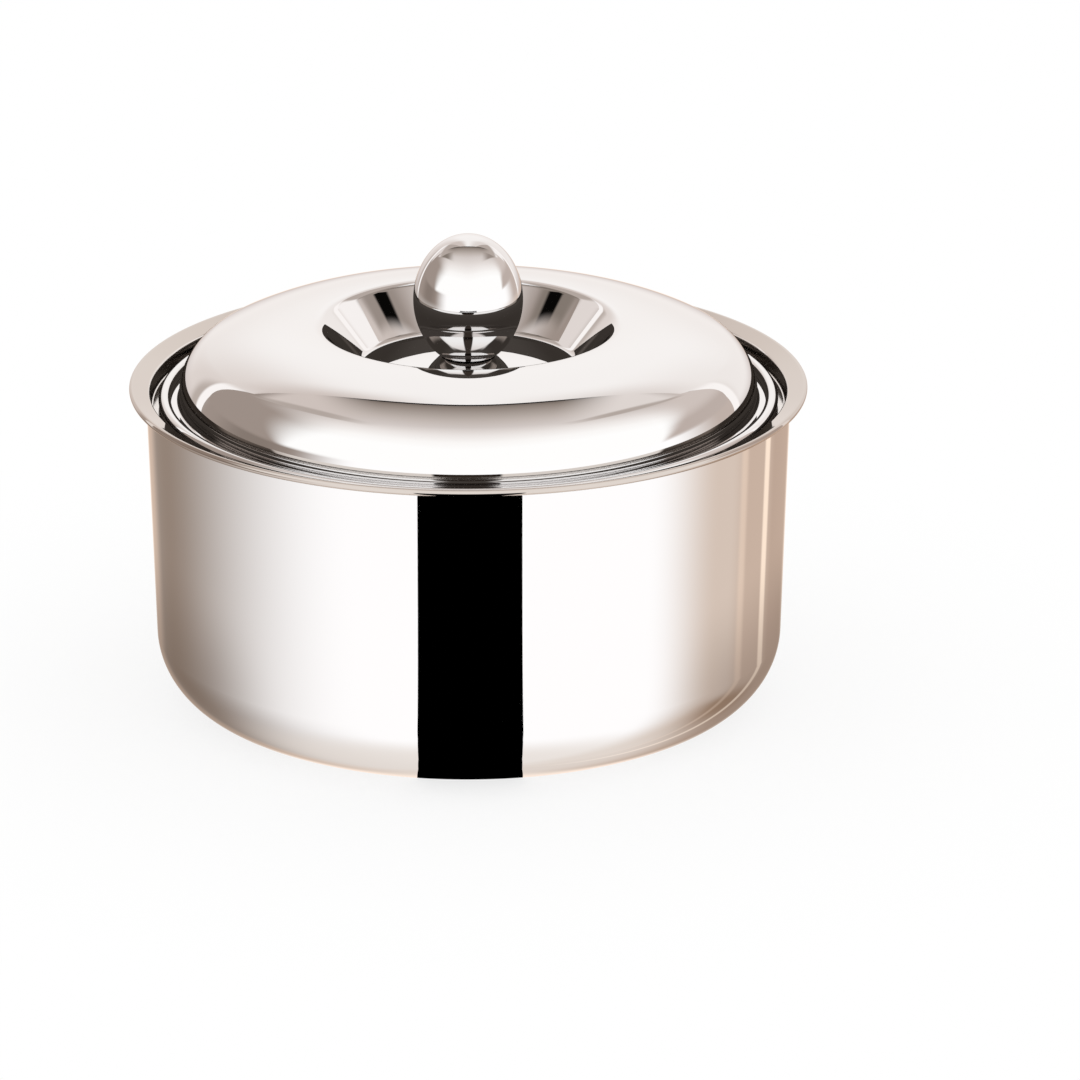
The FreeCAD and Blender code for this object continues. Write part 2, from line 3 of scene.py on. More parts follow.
import bpy
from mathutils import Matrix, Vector


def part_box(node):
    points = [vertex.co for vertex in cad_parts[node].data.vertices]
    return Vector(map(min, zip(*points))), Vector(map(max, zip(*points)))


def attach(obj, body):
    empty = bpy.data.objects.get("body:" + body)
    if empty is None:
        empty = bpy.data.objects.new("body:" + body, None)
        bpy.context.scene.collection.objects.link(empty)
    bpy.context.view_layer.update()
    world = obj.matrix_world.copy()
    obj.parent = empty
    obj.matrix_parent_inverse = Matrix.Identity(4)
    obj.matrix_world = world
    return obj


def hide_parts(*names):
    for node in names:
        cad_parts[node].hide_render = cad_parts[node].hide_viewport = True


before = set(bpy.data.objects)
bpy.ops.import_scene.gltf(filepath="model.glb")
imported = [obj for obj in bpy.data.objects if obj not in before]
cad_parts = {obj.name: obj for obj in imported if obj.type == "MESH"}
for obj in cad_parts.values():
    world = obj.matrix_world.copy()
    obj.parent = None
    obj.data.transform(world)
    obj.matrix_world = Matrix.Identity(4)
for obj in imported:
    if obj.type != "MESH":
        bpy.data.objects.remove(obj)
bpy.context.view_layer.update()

# Insulated chapati casserole, mirror-polished, on a white sweep in a small studio.
# Lengths are in metres, heights are above the surface that the pot stands on, radii are from its
# axis. The front is -Y.
MM = 0.001

# ---------------------------------------------------------------- sizes
# Rim and ledge
RIM_BEAD = 1.15 * MM
RIM_SLOPE = 20.0
RIM_HEM = 1.5 * MM
FLANGE_WIDTH = 7.4 * MM
NECK_BEND = 1.2 * MM
LEDGE_DEPTH = 7.8 * MM
LEDGE_WIDTH = 9.6 * MM
LEDGE_CORNER = 1.0 * MM
LEDGE_BEND = 1.2 * MM
# Pot
SHEET = 0.6 * MM
LAP_GAP = 0.1 * MM
NECK_GAP = 0.4 * MM
WALL_TAPER = 1.8
FLARE_BEND = 1.6 * MM
BASE_CORNER = 26.0 * MM
RING_WIDTH = 7.3 * MM
RECESS_BEND = 0.8 * MM
RECESS_DEPTH = 3.0 * MM
BOWL_FLOOR = 12.6 * MM
BOWL_CORNER = 20.0 * MM
FILLER_HOLE = 6.0 * MM
# Lid
BEAD_GAP = 2.9 * MM
BEAD = 2.2 * MM
GROOVE_WIDTH = 2.9 * MM
GROOVE_CORNER = 1.2 * MM
LID_WALL = 2.86 * MM
SHOULDER = 18.6 * MM
FUNNEL_SLOPE = 49.0
FUNNEL_LIP = 5.5 * MM
FUNNEL_CORNER = 3.5 * MM
FUNNEL_FLOOR = 36.0 * MM
FUNNEL_DOME = 156.0 * MM
FUNNEL_DEPTH = 11.9 * MM
SKIRT_GAP = 1.4 * MM
SKIRT_BEND = 1.0 * MM
LINER_CORNER = 3.0 * MM
SCREW_HOLE = 2.7 * MM
# Knob
KNOB_SHEET = 1.0 * MM
KNOB_HALF_HEIGHT = 23.5 * MM
# Patterns of the finishes; the bowl's polish ends this far outside its neck, fading out
BUFF_PATCH = 30 * MM
TOOL_MARK = 0.3 * MM
MOULD_GRAIN = 0.3 * MM
FOAM_CELL = 1.0 * MM
POLISH_EDGE = 0.6 * MM
POLISH_FADE = 0.3 * MM
# Studio; the steel gives back this share of the light
STEEL_LIGHT = 0.83
CEILING_RADIUS = 1.4
CEILING_HEIGHT = 0.3
SHADE_RADIUS = 0.26
SHADE_HEIGHT = 0.3 * MM
FLOOR_RADIUS = 3.0
# Black card: millimetres in front of the axis and half its width there; its turn in degrees
GAP_EDGE = ((60, 18.4), (90, 18.4), (101, 19.2), (110, 20.9), (120, 23.6), (138, 29.0), (366, 104),
            (750, 230))
GAP_TURN = 0.93
GAP_SHIFT = -0.5 * MM
# Camera
CAMERA_TARGET = Vector((25.36, 0, 56.86)) * MM
CAMERA_DISTANCE = 3.0
CAMERA_ELEVATION = 19.32
CAMERA_LENS = 280.6
CAMERA_SENSOR = 36
CAMERA_CLIP = 20
# Fineness of the spun pieces; a large bend has a face for each fine step, in degrees
TURN_STEPS = 360
FINE_STEP = 2.5
COARSE_STEP = 6.0
LARGE_BEND = 4.0 * MM
KNOB_SEGMENTS = 192
KNOB_RINGS = 128
SMOOTH_ANGLE = 30
EDGE = 0.1 * MM
WELD = 1e-6
SHORTEST_RUN = 1e-7

# Places on the CAD nodes, and what follows from them
RIM_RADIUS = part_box("inner_bowl")[1].x
RIM_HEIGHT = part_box("inner_bowl")[1].z
LID_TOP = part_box("lid_shell")[1].z
SEAT_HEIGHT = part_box("lid_insulation")[0].z - SHEET - LAP_GAP
KNOB_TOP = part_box("knob")[1].z
KNOB_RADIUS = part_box("knob")[1].x
NECK_RADIUS = RIM_RADIUS - FLANGE_WIDTH
BOWL_RADIUS = NECK_RADIUS - LEDGE_WIDTH
LEDGE_HEIGHT = RIM_HEIGHT - LEDGE_DEPTH
BEAD_RADIUS = NECK_RADIUS - BEAD_GAP - BEAD
LID_WALL_RADIUS = BEAD_RADIUS - BEAD - GROOVE_WIDTH
GROOVE_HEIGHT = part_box("lid_shell")[0].z + SHEET


# ---------------------------------------------------------------- spun sheet
class Profile:
    """Half section of a spun piece, drawn by straight runs and bends from one point onwards.

    The heading is in degrees: 0 points away from the axis and 90 points up."""

    def __init__(self, name, radius, height, heading):
        bpy.ops.object.select_all(action="DESELECT")
        bpy.ops.mesh.primitive_plane_add(size=MM)
        self.piece = bpy.context.object
        self.piece.name = self.piece.data.name = name
        self.place = Vector((radius, 0, height))
        self.heading = heading
        bpy.ops.object.mode_set(mode="EDIT")
        bpy.ops.mesh.merge(type="CENTER")
        bpy.ops.transform.translate(value=self.place)

    def direction(self, angle=0):
        turned = math.radians(self.heading + angle)
        return Vector((math.cos(turned), 0, math.sin(turned)))

    def run(self, length=None, radius=None, height=None):
        """A straight run of that length, or as far as that radius or height."""
        along = self.direction()
        if radius is not None:
            length = (radius - self.place.x) / along.x
        if height is not None:
            length = (height - self.place.z) / along.z
        # A short length at each end keeps the next bend's shading off the run.
        parts = (EDGE, length - 2 * EDGE, EDGE) if length > 4 * EDGE else (length,)
        for part in parts:
            if abs(part) > SHORTEST_RUN:
                bpy.ops.mesh.extrude_region_move(TRANSFORM_OT_translate={"value": along * part})
                self.place = self.place + along * part

    def bend(self, turn, radius):
        """A bend by that many degrees, to the left when positive."""
        side = math.copysign(90, turn)
        centre = self.place + self.direction(side) * radius
        step = FINE_STEP if radius > LARGE_BEND else COARSE_STEP
        bpy.ops.mesh.spin(steps=max(2, math.ceil(abs(turn) / step)), angle=math.radians(turn),
                          center=centre, axis=(0, 1, 0))
        self.heading += turn
        self.place = centre - self.direction(side) * radius

    def spin(self):
        """The whole turn about the axis, closed, with its faces pointing away from the middle."""
        bpy.ops.mesh.select_all(action="SELECT")
        bpy.ops.mesh.spin(steps=TURN_STEPS, angle=2 * math.pi, center=(0, 0, 0), axis=(0, 0, 1))
        bpy.ops.mesh.select_all(action="SELECT")
        bpy.ops.mesh.remove_doubles(threshold=WELD)
        bpy.ops.mesh.normals_make_consistent(inside=False)
        bpy.ops.object.mode_set(mode="OBJECT")
        return self.piece


def finish_sheet(piece, node, body, thickness):
    """Gives the spun face its sheet, outwards when positive, and puts the piece in its node's place."""
    sheet = piece.modifiers.new("Sheet", "SOLIDIFY")
    sheet.thickness = abs(thickness)
    sheet.offset = math.copysign(1, thickness)
    sheet.use_even_offset = True
    bpy.ops.object.select_all(action="DESELECT")
    piece.select_set(True)
    bpy.context.view_layer.objects.active = piece
    bpy.ops.object.modifier_apply(modifier=sheet.name)
    bpy.ops.object.shade_smooth_by_angle(angle=math.radians(SMOOTH_ANGLE))
    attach(piece, body)
    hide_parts(node)
    return piece


def spin_inner_bowl():
    """Rolled rim, flange, neck, ledge and bowl, drawn from the hem inwards."""
    slope = math.radians(RIM_SLOPE)
    bead = Vector((RIM_RADIUS - RIM_BEAD, 0, RIM_HEIGHT - RIM_BEAD))
    hem = bead + RIM_BEAD * Vector((math.sin(slope), 0, -math.cos(slope)))
    hem = hem - RIM_HEM * Vector((math.cos(slope), 0, math.sin(slope)))
    bowl = Profile("inner_bowl_spun", hem.x, hem.z, RIM_SLOPE)
    bowl.run(length=RIM_HEM)
    bowl.bend(180, RIM_BEAD)
    # The flange ends where its bend into the neck starts.
    bowl.run(radius=NECK_RADIUS + NECK_BEND * (1 - math.sin(slope)))
    bowl.bend(90 - RIM_SLOPE, NECK_BEND)
    bowl.run(height=LEDGE_HEIGHT + LEDGE_CORNER)
    bowl.bend(-90, LEDGE_CORNER)
    bowl.run(radius=BOWL_RADIUS + LEDGE_BEND)
    bowl.bend(90, LEDGE_BEND)
    bowl.run(height=BOWL_FLOOR + BOWL_CORNER)
    bowl.bend(-90, BOWL_CORNER)
    bowl.run(radius=0)
    return finish_sheet(bowl.spin(), "inner_bowl", "pot", -SHEET)


def spin_outer_shell():
    """Base panel, standing ring, corner, wall and flare, drawn from the filler hole outwards."""
    taper = math.radians(WALL_TAPER)
    top_radius = NECK_RADIUS + SHEET + NECK_GAP + SHEET
    corner = top_radius - RIM_HEIGHT * math.tan(taper) \
        - BASE_CORNER * (1 - math.sin(taper)) / math.cos(taper)
    ring = corner - RING_WIDTH
    shell = Profile("outer_shell_spun", FILLER_HOLE, RECESS_DEPTH, 0)
    shell.run(radius=ring - RECESS_BEND)
    shell.bend(-90, RECESS_BEND)
    shell.run(height=RECESS_BEND)
    shell.bend(90, RECESS_BEND)
    shell.run(radius=corner)
    shell.bend(90 - WALL_TAPER, BASE_CORNER)
    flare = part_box("outer_shell")[1]
    shell.run(height=flare_start(shell, flare))
    shell.bend(RIM_SLOPE - 90 + WALL_TAPER, FLARE_BEND)
    shell.run(radius=flare.x)
    return finish_sheet(shell.spin(), "outer_shell", "pot", SHEET)


def flare_start(shell, flare):
    """Height at which the wall leaves for the flare, so that the flare ends at its node's edge."""
    slope = math.radians(RIM_SLOPE)
    lean = math.radians(WALL_TAPER)
    under = SHEET * math.cos(slope)
    edge = Vector((flare.x, 0, flare.z - under))
    # The flare's line and the wall's line cross here, and the bend reaches back along the wall.
    rise = math.tan(slope)
    wall = math.tan(lean)
    height = (edge.z - rise * (edge.x - shell.place.x + wall * shell.place.z)) / (1 - rise * wall)
    half_turn = math.radians(90 - WALL_TAPER - RIM_SLOPE) / 2
    return height - FLARE_BEND * math.tan(half_turn) * math.cos(lean)


def spin_lid_shell():
    """Domed floor, funnel, crown, shoulder and groove, drawn from the screw hole outwards."""
    floor_height = LID_TOP - FUNNEL_DEPTH
    start = math.degrees(math.asin(SCREW_HOLE / FUNNEL_DOME))
    fall = math.degrees(math.asin(FUNNEL_FLOOR / FUNNEL_DOME))
    drop = FUNNEL_DOME * (1 - math.cos(math.radians(start)))
    lid = Profile("lid_shell_spun", SCREW_HOLE, floor_height - drop, -start)
    lid.bend(start - fall, FUNNEL_DOME)
    lid.bend(fall + FUNNEL_SLOPE, FUNNEL_CORNER)
    lid.run(height=LID_TOP - FUNNEL_LIP * (1 - math.cos(math.radians(FUNNEL_SLOPE))))
    lid.bend(-FUNNEL_SLOPE, FUNNEL_LIP)
    # The crown is the arc that starts level at the lip and meets the shoulder's arc smoothly.
    across = LID_WALL_RADIUS - SHOULDER - lid.place.x
    down = LID_TOP - GROOVE_HEIGHT - LID_WALL
    crown = (across ** 2 + down ** 2 - SHOULDER ** 2) / (2 * (down - SHOULDER))
    sweep = math.degrees(math.asin(across / (crown - SHOULDER)))
    lid.bend(-sweep, crown)
    lid.bend(sweep - 90, SHOULDER)
    lid.run(height=GROOVE_HEIGHT + GROOVE_CORNER)
    lid.bend(90, GROOVE_CORNER)
    lid.run(radius=BEAD_RADIUS)
    return finish_sheet(lid.spin(), "lid_shell", "lid", -SHEET)


def spin_lid_liner():
    """Curl that holds the lid's edge, seat, skirt and underside, drawn from the groove outwards."""
    liner = Profile("lid_liner_spun", BEAD_RADIUS - BEAD, GROOVE_HEIGHT + LAP_GAP, 90)
    liner.run(height=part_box("lid_liner")[1].z - BEAD)
    liner.bend(-270, BEAD)
    skirt = BOWL_RADIUS - SKIRT_GAP
    liner.run(radius=skirt + SKIRT_BEND)
    liner.bend(90, SKIRT_BEND)
    liner.run(height=SEAT_HEIGHT + LINER_CORNER)
    liner.bend(-90, LINER_CORNER)
    liner.run(radius=FILLER_HOLE)
    return finish_sheet(liner.spin(), "lid_liner", "lid", -SHEET)


def shape_knob():
    """Hollow egg: a sphere drawn out to the egg's height and cut off level at its foot."""
    bpy.ops.object.select_all(action="DESELECT")
    bpy.ops.mesh.primitive_uv_sphere_add(segments=KNOB_SEGMENTS, ring_count=KNOB_RINGS, radius=1)
    knob = bpy.context.object
    knob.name = knob.data.name = "knob_spun"
    middle = KNOB_TOP - KNOB_HALF_HEIGHT
    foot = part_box("knob")[0].z
    bpy.ops.object.mode_set(mode="EDIT")
    bpy.ops.transform.resize(value=(KNOB_RADIUS, KNOB_RADIUS, KNOB_HALF_HEIGHT))
    bpy.ops.transform.translate(value=(0, 0, middle))
    bpy.ops.mesh.select_all(action="SELECT")
    bpy.ops.mesh.bisect(plane_co=(0, 0, foot), plane_no=(0, 0, 1), clear_inner=True)
    bpy.ops.object.mode_set(mode="OBJECT")
    return finish_sheet(knob, "knob", "lid", -KNOB_SHEET)


# ---------------------------------------------------------------- finishes
def rgb(code):
    """A hex colour as linear red, green, blue and full alpha."""
    channels = [int(code[i:i + 2], 16) / 255 for i in (1, 3, 5)]
    return [c / 12.92 if c <= 0.04045 else ((c + 0.055) / 1.055) ** 2.4 for c in channels] + [1]


def add(tree, kind, settings=None, inputs=None):
    """Adds a node with its settings; an input takes a value, or a socket to link from."""
    node = tree.nodes.new(kind)
    for name, value in (settings or {}).items():
        setattr(node, name, value)
    for name, value in (inputs or {}).items():
        if isinstance(value, bpy.types.NodeSocket):
            tree.links.new(value, node.inputs[name])
        else:
            node.inputs[name].default_value = value
    return node


def new_finish(name):
    """An empty material, its node tree and its Principled shader."""
    finish = bpy.data.materials.new(name)
    finish.use_nodes = True
    tree = finish.node_tree
    return finish, tree, tree.nodes["Principled BSDF"]


def mirror_steel(name, code, roughness):
    """18/8 stainless steel, deep drawn and buffed: a clear mirror with patches of faint haze."""
    finish, tree, shader = new_finish(name)
    shader.inputs["Base Color"].default_value = rgb(code)
    shader.inputs["Metallic"].default_value = 1
    place = add(tree, "ShaderNodeTexCoord").outputs["Object"]
    haze = add(tree, "ShaderNodeTexNoise", None, {"Vector": place, "Scale": 1 / BUFF_PATCH, "Detail": 3})
    polish = add(tree, "ShaderNodeMapRange", None,
                 {0: haze.outputs[0], 1: 0.3, 2: 0.7, 3: 0.8 * roughness, 4: 1.3 * roughness})
    tree.links.new(polish.outputs[0], shader.inputs["Roughness"])
    return finish


def satin_inside(finish, radius, roughness, code):
    """Keeps the mirror outside that radius. Inside it, where the buffing wheel doesn't reach, the
    steel stays satin, which looks paler and blurs what it mirrors."""
    tree = finish.node_tree
    shader = tree.nodes["Principled BSDF"]
    place = add(tree, "ShaderNodeTexCoord").outputs["Object"]
    flat = add(tree, "ShaderNodeVectorMath", {"operation": "MULTIPLY"}, {0: place, 1: (1, 1, 0)})
    out = add(tree, "ShaderNodeVectorMath", {"operation": "LENGTH"}, {0: flat.outputs["Vector"]})
    reached = add(tree, "ShaderNodeMapRange", {"interpolation_type": "SMOOTHSTEP"},
                  {0: out.outputs["Value"], 1: radius - POLISH_FADE, 2: radius + POLISH_FADE}).outputs[0]
    haze = shader.inputs["Roughness"].links[0].from_socket
    gloss = add(tree, "ShaderNodeMix", None, {0: reached, 2: roughness, 3: haze})
    tree.links.new(gloss.outputs[0], shader.inputs["Roughness"])
    polished = list(shader.inputs["Base Color"].default_value)
    tone = add(tree, "ShaderNodeMix", {"data_type": "RGBA"}, {0: reached, 6: rgb(code), 7: polished})
    tree.links.new(tone.outputs[2], shader.inputs["Base Color"])
    return finish


def turned_steel():
    """Zinc-plated steel turned on a lathe: fine rings, drawn wider than real ones so that they show."""
    finish, tree, shader = new_finish("zinc_plated_turned_steel")
    shader.inputs["Base Color"].default_value = rgb("#c4c6c8")
    shader.inputs["Metallic"].default_value = 1
    place = add(tree, "ShaderNodeTexCoord").outputs["Object"]
    # At scale 1 the texture's rings are pi / 10 apart.
    rings = add(tree, "ShaderNodeTexWave", {"wave_type": "RINGS", "rings_direction": "Z"},
                {"Vector": place, "Scale": math.pi / 10 / TOOL_MARK, "Distortion": 0.4})
    gloss = add(tree, "ShaderNodeMapRange", None, {0: rings.outputs["Fac"], 3: 0.22, 4: 0.34})
    tree.links.new(gloss.outputs[0], shader.inputs["Roughness"])
    return finish


def moulded_plug():
    """Black polyethylene, injection moulded: a soft sheen broken by the mould's fine grain."""
    finish, tree, shader = new_finish("moulded_polyethylene")
    shader.inputs["Base Color"].default_value = rgb("#1c1c1d")
    shader.inputs["IOR"].default_value = 1.51
    shader.inputs["Roughness"].default_value = 0.45
    place = add(tree, "ShaderNodeTexCoord").outputs["Object"]
    grain = add(tree, "ShaderNodeTexNoise", None, {"Vector": place, "Scale": 1 / MOULD_GRAIN, "Detail": 2})
    bump = add(tree, "ShaderNodeBump", None,
               {"Strength": 0.3, "Distance": 0.05 * MM, "Height": grain.outputs[0]})
    tree.links.new(bump.outputs[0], shader.inputs["Normal"])
    return finish


def poured_foam():
    """Polyurethane foam, poured and set: matt cream with closed cells, drawn coarser than real ones."""
    finish, tree, shader = new_finish("poured_polyurethane_foam")
    shader.inputs["Roughness"].default_value = 0.9
    place = add(tree, "ShaderNodeTexCoord").outputs["Object"]
    cells = add(tree, "ShaderNodeTexVoronoi", None, {"Vector": place, "Scale": 1 / FOAM_CELL})
    tone = add(tree, "ShaderNodeMix", {"data_type": "RGBA"},
               {0: cells.outputs["Distance"], 6: rgb("#d9c98f"), 7: rgb("#f2e8c4")})
    tree.links.new(tone.outputs[2], shader.inputs["Base Color"])
    bump = add(tree, "ShaderNodeBump", None,
               {"Strength": 0.6, "Distance": 0.2 * MM, "Height": cells.outputs["Distance"]})
    tree.links.new(bump.outputs[0], shader.inputs["Normal"])
    return finish


def dress(node, finish):
    """Gives a CAD node's object the finish."""
    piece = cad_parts[node]
    if not piece.material_slots:
        piece.data.materials.append(finish)
    for place in piece.material_slots:
        place.material = finish


# ---------------------------------------------------------------- studio
def towards(azimuth, elevation):
    """Unit vector; azimuth 0 is behind the pot and 90 to its right."""
    a, e = math.radians(azimuth), math.radians(elevation)
    return Vector((math.cos(e) * math.sin(a), math.cos(e) * math.cos(a), math.sin(e)))


class Paint:
    """Colours laid over each other in one node tree, each by its mask."""

    def __init__(self, tree, code):
        self.tree = tree
        self.colour = rgb(code)

    def node(self, kind, settings=None, inputs=None):
        return add(self.tree, kind, settings, inputs)

    def math(self, operation, *values):
        return self.node("ShaderNodeMath", {"operation": operation}, dict(enumerate(values))).outputs[0]

    def vector(self, operation, *values):
        """A vector worked out from vectors."""
        return self.node("ShaderNodeVectorMath", {"operation": operation},
                         dict(enumerate(values))).outputs["Vector"]

    def measure(self, operation, *values):
        """A number worked out from vectors."""
        return self.node("ShaderNodeVectorMath", {"operation": operation},
                         dict(enumerate(values))).outputs["Value"]

    def step(self, value, low, high, start=0, end=1):
        """Smooth step from start to end as the value goes from low to high."""
        return self.node("ShaderNodeMapRange", {"interpolation_type": "SMOOTHSTEP"},
                         {0: value, 1: low, 2: high, 3: start, 4: end}).outputs[0]

    def both(self, *masks):
        """The mask that is full where all of the masks are."""
        product = masks[0]
        for mask in masks[1:]:
            product = self.math("MULTIPLY", product, mask)
        return product

    def lay(self, mask, code):
        """Lays a hex colour or a colour socket over what is there."""
        paint = rgb(code) if isinstance(code, str) else code
        mixed = self.node("ShaderNodeMix", {"data_type": "RGBA"}, {0: mask, 6: self.colour, 7: paint})
        self.colour = mixed.outputs[2]

    def ramp(self, value, *stops):
        """Colours at rising places between 0 and 1."""
        ramp = self.node("ShaderNodeValToRGB", None, {0: value})
        points = ramp.color_ramp.elements
        while len(points) < len(stops):
            points.new(0.5)
        for point, (place, code) in zip(points, stops):
            point.position = place
            point.color = rgb(code)
        return ramp.outputs[0]

    def mirrored_again(self):
        """Mask of what the steel shows by way of two mirrorings or more."""
        depth = self.node("ShaderNodeLightPath").outputs["Glossy Depth"]
        return self.math("GREATER_THAN", depth, 1.5)


class Room(Paint):
    """The small room around the pot, painted by direction as the steel mirrors it."""

    def __init__(self, tree, code):
        super().__init__(tree, code)
        self.view = self.node("ShaderNodeTexCoord").outputs["Generated"]
        parts = self.node("ShaderNodeSeparateXYZ", None, {0: self.view})
        self.across, self.back, self.up = parts.outputs
        self.down = self.math("MULTIPLY", self.up, -1)
        self.azimuth = self.math("DEGREES", self.math("ARCTAN2", self.across, self.back))

    def around(self, centre, inner, outer, stretch=1):
        """Mask around a direction, full up to the inner angle; a small stretch makes it tall."""
        shape = (1, 1, stretch)
        unit = self.vector("NORMALIZE", self.vector("MULTIPLY", self.view, shape))
        aim = Vector([c * k for c, k in zip(centre, shape)]).normalized()
        angle = self.math("DEGREES", self.math("ARCCOSINE", self.measure("DOT_PRODUCT", unit, aim)))
        return self.step(angle, inner, outer, 1, 0)

    def upright(self, place, half, soft, low, high, blur=0.04):
        """Mask of an upright strip at an azimuth, between two elevations."""
        off = self.math("ABSOLUTE", self.math("SUBTRACT", self.azimuth, place))
        low, high = (math.sin(math.radians(e)) for e in (low, high))
        return self.both(self.step(off, half, half + soft, 1, 0),
                         self.step(self.up, low - blur, low + blur),
                         self.step(self.up, high - blur, high + blur, 1, 0))


def paint_walls(room):
    """White light in front, grey walls on the left and the right, and what is high up."""
    room.lay(room.upright(-80, 24, 34, -30, 50), "#9a8d85")
    room.lay(room.around(towards(-88, 4), 4, 30, 0.6), "#847870")
    room.lay(room.upright(-58, 14, 14, 20, 50, 0.06), "#dcd4d0")
    room.lay(room.upright(56, 6, 34, -30, 50), "#bdafa7")
    room.lay(room.upright(58, 14, 14, 20, 50, 0.06), "#f3efed")
    # High up it is grey behind and at both sides, with a dark doorway on each side
    room.lay(room.upright(0, 66, 2, 36, 70), "#b0a59e")
    for side, shade in ((-1, "#81776f"), (1, "#958a83")):
        room.lay(room.upright(side * 96, 30, 3, 34, 64), shade)
        room.lay(room.upright(side * 113, 8, 9, 44, 64), "#9c9089")
        room.lay(room.upright(side * 87, 7.5, 1, 42, 47.5, 0.008), "#080706")


def paint_sweep(room):
    """White sweep behind, seen as on a wall: its outline is an ellipse with a light band inside it."""
    behind = room.step(room.back, 0.0, 0.001)
    away = room.math("MAXIMUM", room.back, 0.001)
    wall = room.vector("DIVIDE", room.view, room.node(
        "ShaderNodeCombineXYZ", None, {0: away, 1: away, 2: away}).outputs[0])
    flat = room.vector("MAXIMUM", room.vector("MULTIPLY", wall, (1, 0, 1)), (-9, 0, 0))
    outline = room.measure("LENGTH", room.vector("MULTIPLY", flat, (1 / 1.25, 0, 1)))
    side = room.math("DIVIDE", room.math("ABSOLUTE", room.across), away)
    tilt = room.math("DIVIDE", room.up, away)
    left = room.math("DIVIDE", room.math("MULTIPLY", room.across, -1), away)
    # How far out towards its upper corners, where the light falls off
    corner = room.math("ADD", room.math("MULTIPLY", room.math("POWER", side, 1.4), 0.716),
                       room.math("MULTIPLY", room.math("POWER", room.math("MAXIMUM", tilt, 0), 1.4), 0.624))
    crown = Paint(room.tree, "#eae5e2")
    crown.lay(crown.both(crown.step(room.up, 0.1, 0.42), crown.step(side, 0.5, 0.2)), "#f2efed")
    crown.lay(crown.step(left, 0.12, 0.62), "#d8cfca")
    crown.lay(crown.step(room.up, 0.06, -0.2), "#c8bebb")
    crown.lay(crown.both(crown.step(corner, 0.6, 0.95), crown.step(side, 0, 0.4),
                         crown.step(left, -0.3, 0.3, 0.5, 1)), "#cbc0ba")
    crown.lay(crown.both(crown.step(outline, 0.54, 0.72), crown.step(left, 0.6, 0.9)), "#b5aaa3")
    crown.lay(crown.both(crown.step(outline, 0.79, 0.85), crown.step(side, 0.5, 0.75),
                         crown.step(outline, 1.05, 1.0)), "#f6f2f0")
    inside = room.math("MAXIMUM", room.step(outline, 1.003, 0.997), room.step(side, 0.64, 0.60))
    room.lay(room.both(behind, inside), crown.colour)


def paint_table(room):
    """Table: white in front, brown behind and at both sides, with pale streaks there."""
    below = room.step(room.down, 0.1, 0.3)
    low_down = room.step(room.down, 0.42, 0.56)
    room.lay(room.step(room.down, 0.1, 0.4), "#fdfcfc")
    room.lay(room.both(below, room.around(towards(-39, -25), 0, 90)), "#8f7f73")
    room.lay(room.both(below, room.upright(45, 31, 36, -80, -5)), "#d2c1b4")
    room.lay(room.both(below, room.upright(20, 36, 14, -80, -5)), "#c5af9f")
    room.lay(room.both(below, room.upright(20, 14, 8, -80, -5)), "#b9a292")
    room.lay(room.both(low_down, room.around(towards(56, -32), 5, 26)), "#a48872")
    room.lay(room.upright(42.5, 1.2, 2.2, -70, -14), "#f9e3cf")
    room.lay(room.both(0.4, room.upright(61, 0.6, 3.0, -70, -14)), "#f2d9c4")
    room.lay(room.upright(0, 3.0, 12.0, -89, -12), "#f2e0d2")
    room.lay(room.step(room.down, 0.6, 0.95, 0, 0.8), "#e2dad3")


def paint_second_mirroring(room):
    """Painted shade where steel mirrors steel: deep, paler low down, and two front lights with a gap."""
    deep = Paint(room.tree, "#38332f")
    turned = deep.math("ABSOLUTE", room.azimuth)
    low_sky = deep.step(room.up, 0.92, 0.80)
    deep.lay(deep.step(room.up, 0.75, 0.97), "#46413d")
    deep.lay(deep.both(deep.step(turned, 52, 64), deep.step(room.up, 0.62, 0.45)), "#8d837c")
    deep.lay(deep.both(deep.step(turned, 108, 120), low_sky), "#dedad7")
    deep.lay(deep.both(deep.step(turned, 160, 164), low_sky), "#14100e")
    deep.lay(deep.both(deep.step(turned, 164, 170), deep.step(room.up, 0.55, 0.68)), "#38312c")
    room.lay(room.both(room.mirrored_again(), room.step(room.up, 0, 0.02)), deep.colour)


def make_studio():
    """Backdrop, white for the camera; what the steel mirrors is a small room around the pot."""
    world = bpy.data.worlds.new("studio")
    bpy.context.scene.world = world
    world.use_nodes = True
    world.cycles.sampling_method = "NONE"
    tree = world.node_tree
    tree.nodes.clear()
    room = Room(tree, "#fefdfd")
    paint_walls(room)
    paint_sweep(room)
    paint_table(room)
    paint_second_mirroring(room)
    # The steel keeps back part of the light, so what it mirrors is made that much brighter
    path = add(tree, "ShaderNodeLightPath").outputs
    mirrored = room.math("MAXIMUM", path["Is Glossy Ray"], path["Is Transmission Ray"])
    strength = room.math("MULTIPLY_ADD", mirrored, 1 / STEEL_LIGHT - 1, 1)
    seen = Paint(tree, "#ffffff")
    seen.lay(mirrored, room.colour)
    light = add(tree, "ShaderNodeBackground", None, {"Color": seen.colour, "Strength": strength})
    add(tree, "ShaderNodeOutputWorld", None, {0: light.outputs[0]})


def add_disc(name, radius, height=0.0, sides=96):
    """A level disc of the studio at that height."""
    bpy.ops.object.select_all(action="DESELECT")
    bpy.ops.mesh.primitive_circle_add(vertices=sides, radius=radius, fill_type="NGON",
                                      location=(0, 0, height))
    disc = bpy.context.object
    disc.name = name
    bpy.ops.object.transform_apply()
    return disc


def only_mirrored(card):
    """Lets a card of the studio show in the steel alone."""
    card.visible_camera = False
    card.visible_diffuse = False
    card.visible_shadow = False
    card.visible_volume_scatter = False


